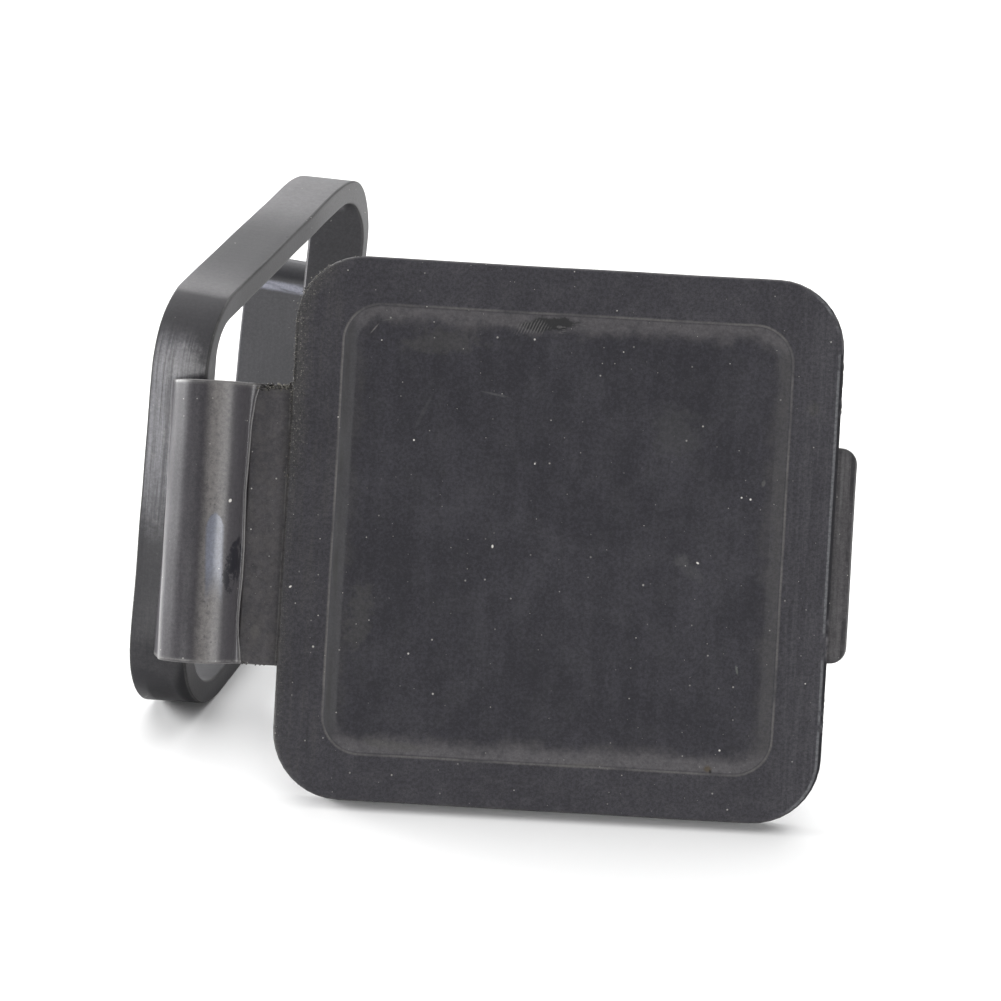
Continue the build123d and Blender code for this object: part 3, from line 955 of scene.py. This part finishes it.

# %% [markdown]
# ### Marks on the lid
# Now the single marks: the scuffed patch under the top edge with its fan of pale ticks, a fingertip smudge
# right of the middle, three curved scratches, a painted glint at the panel's upper hinge corner, a lighter cloud
# and a spot of brown dirt in the lower shoulder.

# %% Lid marks
L.layer((9, 9, 10), 0.9, L.mark(-3.6, 33.6, 5.0, 1.25, -5.0, 0.45, 0.4))
waves = {"Vector": turned(place, (-6.0, 33.4, 0), math.radians(24)), "Scale": 0.72, "Distortion": 1.4,
         "Detail": 2.0, "Detail Scale": 1.0}
ticks = node("ShaderNodeTexWave", waves, wave_type="BANDS", bands_direction="X").outputs["Fac"]
L.layer((150, 145, 145), 0.7, ramp(ticks, 0.45, 0.9), L.mark(-6.2, 33.0, 3.4, 1.2, -7.0, 0.45, 0.5))
scraps = ramp(drawn_grain(place, (0.45, 2.0, 1)), 0.56, 0.66)
L.layer((140, 135, 135), 0.7, scraps, L.mark(1.5, 33.0, 4.5, 1.0, -6.0, 0.4, 0.5))
for *spot, share, ragged, levels in (  # x, y, half sizes, turn, share, raggedness, tone
    (19.4, -2.2, 1.3, 1.2, 0, 0.5, 0.5, (85, 85, 88)),      # fingertip smudge
    (21.2, -4.0, 2.4, 1.2, 40, 0.4, 0.5, (70, 70, 74)),
    (17.4, 17.8, 4.2, 4.6, 0, 0.5, 0.5, (55, 55, 58)),      # cloud
    (-11.2, 22.2, 2.7, 0.25, 9, 0.6, 0.12, (95, 95, 100)),    # curved scratches
    # a painted glint at the panel's upper hinge corner
    (-30.6, 31.4, 1.2, 0.13, -52, 0.7, 0.08, (200, 190, 185)),
    (-28.6, 32.9, 1.2, 0.16, -14, 0.5, 0.15, (120, 120, 115)),
    (-22.3, 18.8, 0.35, 4.2, 24, 0.4, 0.25, (60, 60, 64)),
    (29.0, -18.8, 0.22, 0.9, -14, 0.7, 0.12, (140, 150, 140)),
    (25.3, -34.4, 0.75, 0.65, 0, 0.85, 0.3, (75, 55, 30)),  # brown dirt
    (25.7, -34.8, 0.3, 0.35, 0, 0.9, 0.2, (8, 6, 5)),
    (-19.5, 30.0, 7.5, 2.2, -6, 0.5, 0.6, (62, 60, 58)),    # dust blown along the top
    (4.5, -35.0, 5.5, 0.4, -4, 0.5, 0.4, (100, 95, 90)),
    (-24.0, -33.6, 6.0, 0.9, 3, 0.5, 0.5, (80, 78, 74)),
    (38.4, 22.6, 1.2, 1.4, 0, 0.4, 0.6, (85, 82, 75)),
    (31.5, 10.6, 0.35, 0.7, 10, 0.6, 0.3, (130, 130, 125)),
    (-30.5, -14.0, 2.2, 7.0, 4, 0.5, 0.6, (64, 62, 60)),
):
    L.layer(levels, share, L.mark(*spot, ragged, 0.55))
L.colour = blend(front, plain, L.colour)  # none of it is on the back
swirl = ramp(grain(place, 0.22, 5.0, 0.72), 0.46, 0.62)
L.layer((70, 69, 75), 0.14, swirl, ramp(away, -3.0, -5.0))
for spot in ((21.9, -2.4, 0.3, 0.18, 30), (-41.4, -9.7, 0.3, 0.18, -35), (-10.3, -1.6, 0.2, 0.32, 0),
             (43.9, 9.2, 0.3, 0.18, 0), (29.6, 8.0, 0.2, 0.2, 0), (28.2, 8.2, 0.16, 0.16, 0),
             (-23.5, 14.3, 0.18, 0.18, 0)):
    L.lint.append(L.mark(*spot, 0.05, 0.5))
rough = add(ramp(L.tone["Cloudy"], 0.0, 1.0, 0.50, 0.57), product(rim, 0.4))
L.wear = product(L.wear, flip(rim))
L.finish(rough, (130, 125, 120), 0.45, 0.75)

# %% [markdown]
# ## The band
# The strap shines more than the lid, because it has been stretched and chafed over the steel. Its top has a thin
# coat of pale dust with a painted sheen, and its hinge side has a painted bluish reflection in fine streaks along
# the strap's width: strong under the corner, fading to nothing near the floor. Painted shade and painted light are
# also laid on its rim faces, its corner rounding, its down-facing edges and the far wall's inside.

# %% Band material
B = Rubber("band_rubber", (31, 30, 35), (53, 51, 55), (0.10, 1.3, 1.0), 0.3, 0.45, 0.12)
place = B.place
x, y, z = split(place)
slant = product(less(y, z), 0.5)
B.spread = plane(add(x, slant), add(y, z))
facing_x, facing_y, facing_z = split(node("ShaderNodeNewGeometry").outputs["Normal"])
upward = ramp(facing_z, 0.965, 0.985)
# the top: pale dust with a painted sheen, stronger towards both ends, and a darker band across the middle
dust_and_sheen = product(upward, ramp(grain(place, 0.8, 4.0, 0.8), 0.2, 0.8, 0.7, 1.0))
B.layer((182, 178, 184), ramp(size_of(add(y, 3.0)), 4.0, 24.0, 0.2, 0.9), dust_and_sheen)
B.layer((20, 19, 22), 0.5, upward, line(y, -3.0, 3.0, 18.0))
# the rim faces are painted lighter, with painted shade where their near part runs into the top and bottom
rimside = ramp(facing_x, 0.8, 0.97)
B.layer((78, 76, 80), 0.5, rimside)
ends = larger(ramp(z, 20.0, 29.0), ramp(z, -22.0, -28.0))
B.layer((22, 21, 24), 0.5, rimside, ramp(y, -12.0, -30.0), ends)
specks = dots(B.spread, 1.1, 0.2, 0.3)
B.layer((14, 14, 16), 0.7, specks, rimside, ramp(y, -15.0, 5.0))
# the hinge side: a painted bluish reflection in fine streaks, painted highlight specks in it, a paler painted smear
# high under the corner, and brown dust
hinge_side = product(ramp(y, -20.0, -25.0), ramp(facing_z, 0.80, 0.40), ramp(facing_y, 0.2, 0.0))
side = plane(x, z)
streak = ramp(drawn_grain(place, (2.2, 0.05, 0.05), 5.0, 0.75), 0.34, 0.68)
painted_reflection = product(B.mark(-2.2, 17.5, 6.5, 20.5, 0, 0.16, 0.6, side), ramp(streak, 0, 1, 0.5, 1.0), hinge_side)
B.layer((340, 337, 360), 0.9, painted_reflection)
reflection_spots = product(painted_reflection, ramp(grain(place, 0.45, 4.0, 0.7), 0.5, 0.7))
B.layer((520, 510, 500), 0.35, reflection_spots)
B.layer((300, 295, 300), 0.5, B.mark(0.5, 27.0, 5.0, 3.0, 0, 0.3, 0.7, side), hinge_side)
B.coarse = ramp(facing_z, 0.8, 0.4, 0.12, 0.24)
brown = B.mark(1.2, 18.5, 3.6, 2.4, 0, 0.3, 0.8, side)
B.layer((200, 180, 165), 0.7, brown, ramp(streak, 0, 1, 0.4, 1.0), hinge_side)
# painted light on the far wall's inside
inside = product(ramp(y, 18.0, 24.0), ramp(facing_y, -0.4, -0.8))
B.layer((500, 490, 515), 0.95, inside)
# painted shade on the near corner's rounding
rounding = product(line(facing_z, 0.88, 0.07, 0.34), ramp(facing_y, -0.1, -0.3), ramp(facing_x, 0.5, 0.2))
B.layer((16, 15, 18), 0.5, rounding)
# darker painted streaks in that reflection, a darker patch low on the hinge side and a lighter strip just above the
# floor
B.layer((18, 17, 21), 0.35, ramp(streak, 0.4, 0.0), hinge_side)
B.layer((14, 13, 18), 0.75, B.mark(-1.5, -26.5, 4.0, 3.8, 20, 0.3, 0.6, side), hinge_side)
B.layer((85, 83, 90), 0.55, hinge_side, ramp(z, -30.0, -32.0))
B.layer((20, 20, 25), 0.8, B.mark(4.2, 3.5, 0.35, 0.4, 0, 0.2, 0.5, plane(x, y)), upward)
# painted shade on the rim faces near the floor
low = product(ramp(z, -24.0, -30.0), ramp(facing_x, 0.6, 0.9))
B.layer((18, 17, 21), 0.2, low)
# painted shade on the edges that face down towards the hinge side
bevel = product(line(size_of(facing_x), 0.55, 0.35, 0.08), ramp(facing_y, -0.25, -0.45))
B.layer((7, 7, 9), 0.85, bevel)
# light comes off the far corner, and little gets into the bottom of the ring
corner = product(ramp(facing_y, 0.15, 0.4), ramp(facing_z, 0.15, 0.5))
B.layer((340, 337, 340), 0.8, corner)
B.layer((220, 218, 220), 0.6, rimside, ramp(y, 12.0, 26.0), ramp(z, 12.0, 24.0))
B.layer((22, 22, 26), 0.75, ramp(facing_z, 0.3, 0.6), ramp(z, -22.0, -27.0))
rough = ramp(upward, 0, 1, 0.36, 0.48)
rough = add(rough, product(line(facing_z, 0.72, 0.2, 0.15), 0.2))
rough = add(rough, product(bevel, 0.5))
B.finish(rough, (130, 128, 125), 0.5)

# %% [markdown]
# ## The arched web
# The thinnest rubber is the smoothest. Bending has polished it, so it shows the lights as long bands. Along the
# main band, brown dust dulls it and is laid together with a painted highlight, except in one cleaner, glossier
# patch that gets a painted bluish reflection. It has oil beside the groove, pits down its far edge, a painted
# highlight down its left edge, painted highlights along its two rims and a lighter right flank.

# %% Web material
W = Rubber("web_rubber", (40, 37, 43), (70, 66, 73), (1.2, 0.05, 1.0), 0.3, 0.35, 0.35)
place = W.place
plain = W.colour
x, y, z = split(place)
axis = vector_maths("MULTIPLY", vector_maths("SUBTRACT", place, (ARCH_X, 0, ARCH_Z)), (1, 0, 1))
outer = ramp(vector_maths("LENGTH", axis), ARCH_RADIUS - 0.7 * WEB_THICK, ARCH_RADIUS - 0.4 * WEB_THICK)
# brown dust along the arch's long highlight, laid together with a painted highlight; a cleaner, glossier patch in it
# gets a painted bluish reflection
dusty = product(line(x, -53.6, 0.55, 2.0), ramp(grain(place, 1.3, 4.0, 0.7), 0.25, 0.6, 0.45, 1.0))
middle = ramp(y, -18.0, 2.0, -52.8, -53.35)
off = less(x, middle)
bulge = add(y, add(product(off, off, 1.1), product(W.tone["Torn"], 1.6)))
clean_glossy_reflection = product(ramp(size_of(off), 1.0, 1.5, 1.0, 0.0), ramp(bulge, 0.9, 1.4, 1.0, 0.0), ramp(bulge, -12.5, -6.0))
dusty = product(dusty, flip(clean_glossy_reflection))
W.layer((235, 222, 215), 0.8, dusty)
# the right flank is made lighter
W.layer((85, 80, 87), 0.6, ramp(x, -52.4, -50.8))
W.layer((235, 250, 305), 0.75, clean_glossy_reflection)
soot = dots(place, 1.6, 0.16, 0.45)
W.layer((20, 18, 18), 0.6, soot, dusty, ramp(y, 14.0, 4.0))
oil = larger(W.mark(-51.1, -9.2, 0.5, 1.5, -10, 0.9, 0.3), W.mark(-50.2, -3.4, 0.5, 0.9, 30, 0.8, 0.5))
oil = larger(W.mark(-50.1, -6.3, 1.05, 3.3, 4, 0.9, 0.25), oil)
W.layer((8, 8, 14), 0.9, oil)
# painted highlight down the arch's left edge, with a white painted line at the very edge
left_edge_highlight = product(ramp(x, -60.6, -61.6), ramp(y, -16.0, 14.0, 1.0, 0.1))
crown = ramp(z, ARCH_Z - 1.2, ARCH_Z - 0.3)
W.layer((320, 315, 315), 0.75, left_edge_highlight, crown)
W.layer((500, 490, 490), 0.5, ramp(x, -61.45, -61.6), crown, ramp(y, -18.0, -12.0, 0.3, 1.0))
pits = dots(place, 0.55, 0.32, 0.6)
W.layer((8, 8, 10), 0.9, pits, ramp(x, -61.2, -60.8, 1.0, 0.0), ramp(y, 2.0, 6.0))
for height in (HINGE_LOW + 0.42, HINGE_HIGH - 0.35):  # the rims catch the light
    patchy = ramp(drawn_grain(place, (0.3, 0.3, 1)), 0.35, 0.5, 0.3, 1.0)
    W.layer((210, 205, 200), 0.6, line(y, height, 0.07, 0.14), patchy)
W.colour = blend(outer, plain, W.colour)  # the arch's inside stays clean
W.lint.append(W.mark(-51.3, 3.2, 0.26, 0.34, 20, 0.05, 0.5))
rough = add(0.36, product(dusty, 0.10))
rough = less(rough, product(clean_glossy_reflection, 0.08))
W.finish(rough, (220, 215, 210), 0.75, 0.5, 0.02)

# %% [markdown]
# ## Pad, tab and tongue
# The pad is dull and brownish, with a pale wavy line where the web dives under it. The tab is darker and
# cleaner, with painted highlight lines and a painted shade line along it. The tongue is like the band's inside,
# but its upper end has a painted bluish highlight below a band of painted shade.

# %% Pad material
P = Rubber("pad_rubber", (47, 44, 49), (89, 84, 89), (0.9, 0.05, 1.0), 0.3, 0.5, 0.5)
place = P.place
P.layer((120, 115, 105), 0.4, P.mark(-46.6, -17.2, 1.2, 1.0, 20, 0.6, 0.6))
x, y, z = split(place)
patchy = ramp(drawn_grain(place, (0.2, 0.35, 1)), 0.4, 0.55)
P.layer((170, 165, 160), 0.6, line(x, -43.1, 0.05, 0.12), patchy)
grit = dots(place, 1.3, 0.13, 0.35)
mottle = ramp(grain(place, 0.5, 4.0, 0.75), 0.42, 0.6)
P.layer((100, 93, 90), 0.35, mottle)
P.layer((22, 20, 22), 0.4, ramp(grain(place, 0.8, 4.0, 0.75), 0.46, 0.34))
P.layer((140, 130, 120), 0.35, grit)
P.layer((8, 8, 8), 0.9, grit, ramp(y, -18.5, -21.0), ramp(x, -47.0, -44.0))
P.coarse = 0.12
P.finish(0.52, (200, 190, 180), 0.5, 0.6)

# %% Tab material
T = Rubber("tab_rubber", (67, 63, 67), (117, 112, 116), (2.4, 0.02, 1.0), 0.6, 0.3, 0.3)
place = T.place
x, y, z = split(place)
streaky = ramp(drawn_grain(place, (0.6, 0.12, 1)), 0.35, 0.6)
# painted lines along the tab: two painted highlights near the lid's edge and painted shade by its outer rim
for painted_line, half, share, levels in ((43.75, 0.10, 0.6, (150, 148, 150)), (44.45, 0.14, 0.5, (120, 118, 120)),
                                   (45.35, 0.22, 0.7, (12, 11, 14))):
    T.layer(levels, share, line(x, painted_line, half, 0.22), streaky)
T.layer((12, 12, 14), 0.7, ramp(T.wear, 0.3, 0.8))
T.finish(0.42, (120, 115, 110), 0.5)

# %% Flash and crumb materials
F = Rubber("flash_rubber", (20, 20, 22), (60, 58, 56), (0.5, 1.5, 1.0), 0.5, 0.3, 0.0)
F.finish(0.5, (420, 410, 390), 0.85, 0.9, 0.02, 1.1)
C = Rubber("crumb_rubber", (18, 17, 18), (70, 66, 60), (2.0, 2.0, 2.0), 0.6, 0.3, 0.0)
C.finish(0.5, (260, 245, 210), 0.8, 0.7, 0.02, 1.6)

# %% Tongue material
G = Rubber("tongue_rubber", (36, 36, 42), (60, 59, 66), (0.9, 0.05, 1.0), 0.35, 0.45, 0.2)
place = G.place
x, y, z = split(place)
# a painted bluish highlight across the upper end's rounding
painted_highlight = product(line(y, -10.2, 0.3, 0.9), ramp(drawn_grain(place, (0.25, 1.5, 1)), 0.25, 0.55, 0.3, 1.0))
G.layer((380, 390, 470), 0.9, painted_highlight)
# painted shade on the rounding above that highlight
G.layer((18, 18, 22), 0.7, ramp(y, -11.0, -11.8), ramp(y, -14.6, -13.8))
G.finish(0.42, (130, 130, 150), 0.5)

for piece, made in zip(cover, (B, L, P, T, W, G, F, F, C, C, C)):
    piece.data.materials.append(made.material)
print("materials:", [m.name for m in bpy.data.materials if m.users])

# %% [markdown]
# ## Floor, light and camera
# The cover stands on white paper in a white room. No single light is strong: five soft ones stand all round and
# above, so the shadow is only a tight dark patch at each foot. Four small ones do one job each: a low wide
# one behind gives the sheen on the band's top, one at the left the pale line down the arch, the key at the
# right the arch's long highlight, and a weak one in front fills the lid.

# %% Floor
def two_faced(kind, real, shown):
    """A shader that is one thing to the light and another to the camera."""
    seen = node("ShaderNodeLightPath").outputs["Is Camera Ray"]
    real, shown = (node(kind, inputs).outputs[0] for inputs in (real, shown))
    return node("ShaderNodeMixShader", {0: seen, 1: real, 2: shown}).outputs[0]


WHITE = (1, 1, 1, 1)
paper = bpy.data.materials.new("white_sweep")
paper.use_nodes = True
tree = paper.node_tree
tree.nodes.clear()
matt = two_faced("ShaderNodeBsdfDiffuse", {"Color": (0.55, 0.55, 0.55, 1)}, {"Color": WHITE})
node("ShaderNodeOutputMaterial", {"Surface": matt})
FLOOR_RADIUS = 0.62
bpy.ops.mesh.primitive_circle_add(vertices=96, radius=FLOOR_RADIUS, fill_type="NGON", location=(0.03, 0, FLOOR * MM))
floor = bpy.context.object
floor.name = "white_floor"
floor.data.materials.append(paper)
floor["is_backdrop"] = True

# %% Lights
def soft_light(name, azimuth, height, distance, size, power):
    """A rectangular light aimed at the cover, at a bearing and height in degrees."""
    lamp = bpy.data.lights.new(name, "AREA")
    lamp.shape = "RECTANGLE"
    lamp.size, lamp.size_y = size
    lamp.energy = power
    a, h = math.radians(azimuth), math.radians(height)
    aim = Vector((0.03, 0, 0))
    made = place_in_scene(name, lamp)
    made.location = aim + Vector((math.cos(a) * math.cos(h), math.sin(a) * math.cos(h), math.sin(h))) * distance
    made.rotation_euler = (aim - made.location).to_track_quat("-Z", "Y").to_euler()


soft_light("top_light", 112, 56, 1.1, (2.0, 0.40), 5.5)
soft_light("mid_left_light", 150, 50, 1.1, (0.8, 0.8), 1.5)
soft_light("back_right_light", 48, 50, 1.1, (1.0, 0.8), 3.3)
soft_light("low_left_light", 188, 16, 0.9, (0.6, 0.3), 9.0)
soft_light("over_light", -90, 80, 1.1, (1.0, 1.0), 3.3)
soft_light("back_light", 105, 22, 1.0, (1.0, 0.30), 3.2)
soft_light("left_light", 158, 3, 0.7, (0.45, 0.14), 6.0)
soft_light("key_light", -20, 11, 0.8, (0.34, 0.32), 3.1)
soft_light("fill_light", -106, 5, 0.9, (0.36, 0.24), 1.6)
world = bpy.context.scene.world or bpy.data.worlds.new("room")
bpy.context.scene.world = world
world.use_nodes = True
tree = world.node_tree
tree.nodes.clear()
room = two_faced("ShaderNodeBackground", {"Color": WHITE, "Strength": 0.16}, {"Color": WHITE, "Strength": 1.0})
node("ShaderNodeOutputWorld", {"Surface": room})

# %% Camera
camera = place_in_scene("camera", bpy.data.cameras.new("camera"))
camera.data.sensor_width = 36
camera.data.lens = 111.49
across = Vector((0.9572, 0.2846, 0.0515))
back = Vector((0.2331, -0.8645, 0.4453))
turn = Matrix((across, back.cross(across), back)).transposed().to_4x4()
camera.matrix_world = Matrix.Translation((0.16397, -0.44501, 0.22523)) @ turn
bpy.context.scene.camera = camera
bpy.context.scene.view_settings.view_transform = "Standard"

# %% Size and finish
low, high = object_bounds()
print("visual box, mm:", [round(v * 1000, 1) for v in high - low])
